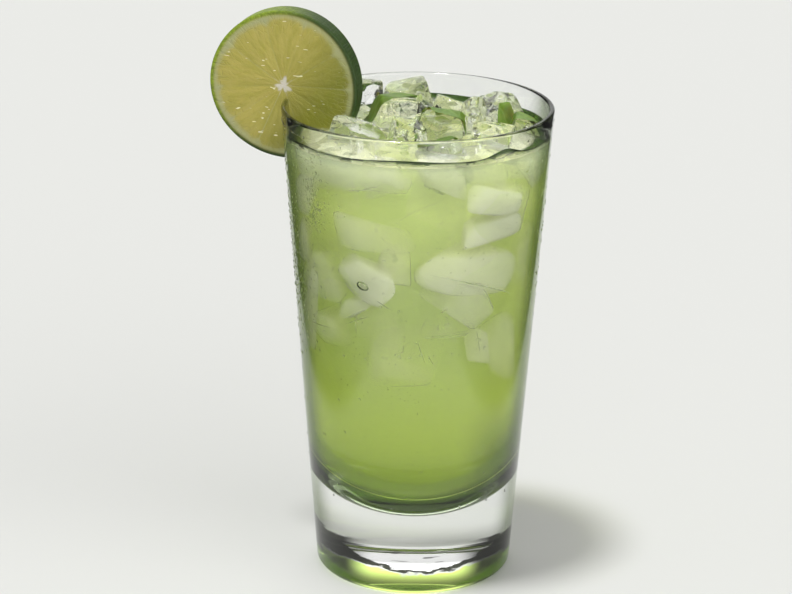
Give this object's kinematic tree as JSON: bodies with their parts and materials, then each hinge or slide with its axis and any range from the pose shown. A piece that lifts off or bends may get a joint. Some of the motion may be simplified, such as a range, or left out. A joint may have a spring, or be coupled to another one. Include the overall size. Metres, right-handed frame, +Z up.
{
  "type": "mojito cocktail",
  "caption": "Mojito in a tall, slightly flared tumbler with a heavy base, topped with ice and mint leaves, and sliced lime hung on the rim.",
  "frame": {"origin": "middle of the glass's underside, on the surface it stands on", "axes": "+Z up along the glass, -Y towards the side shown in the picture, -X towards the lime slice"},
  "size_m": [0.1058, 0.0834, 0.1774],
  "materials": {
    "glass": "clear, polished",
    "drink": "cloudy liquid",
    "ice": "clear, wet",
    "lime": "moist cut fruit with a waxy rind",
    "mint": "fresh wet leaf"
  },
  "bodies": {
    "root": {"glass": "glass", "drink": "drink", "lime_slice": "lime", "ice_back": "ice", "ice_behind_lime": "ice", "ice_under_mint": "ice", "ice_left": "ice", "ice_front": "ice", "ice_middle": "ice", "ice_upright": "ice", "ice_slab": "ice", "ice_right": "ice", "ice_wall": "ice", "ice_far_right": "ice", "ice_far_wall": "ice", "ice_low": "ice", "mint_left": "mint", "mint_middle": "mint", "mint_small": "mint", "mint_right": "mint", "mint_front": "mint"}
  },
  "joints": []
}
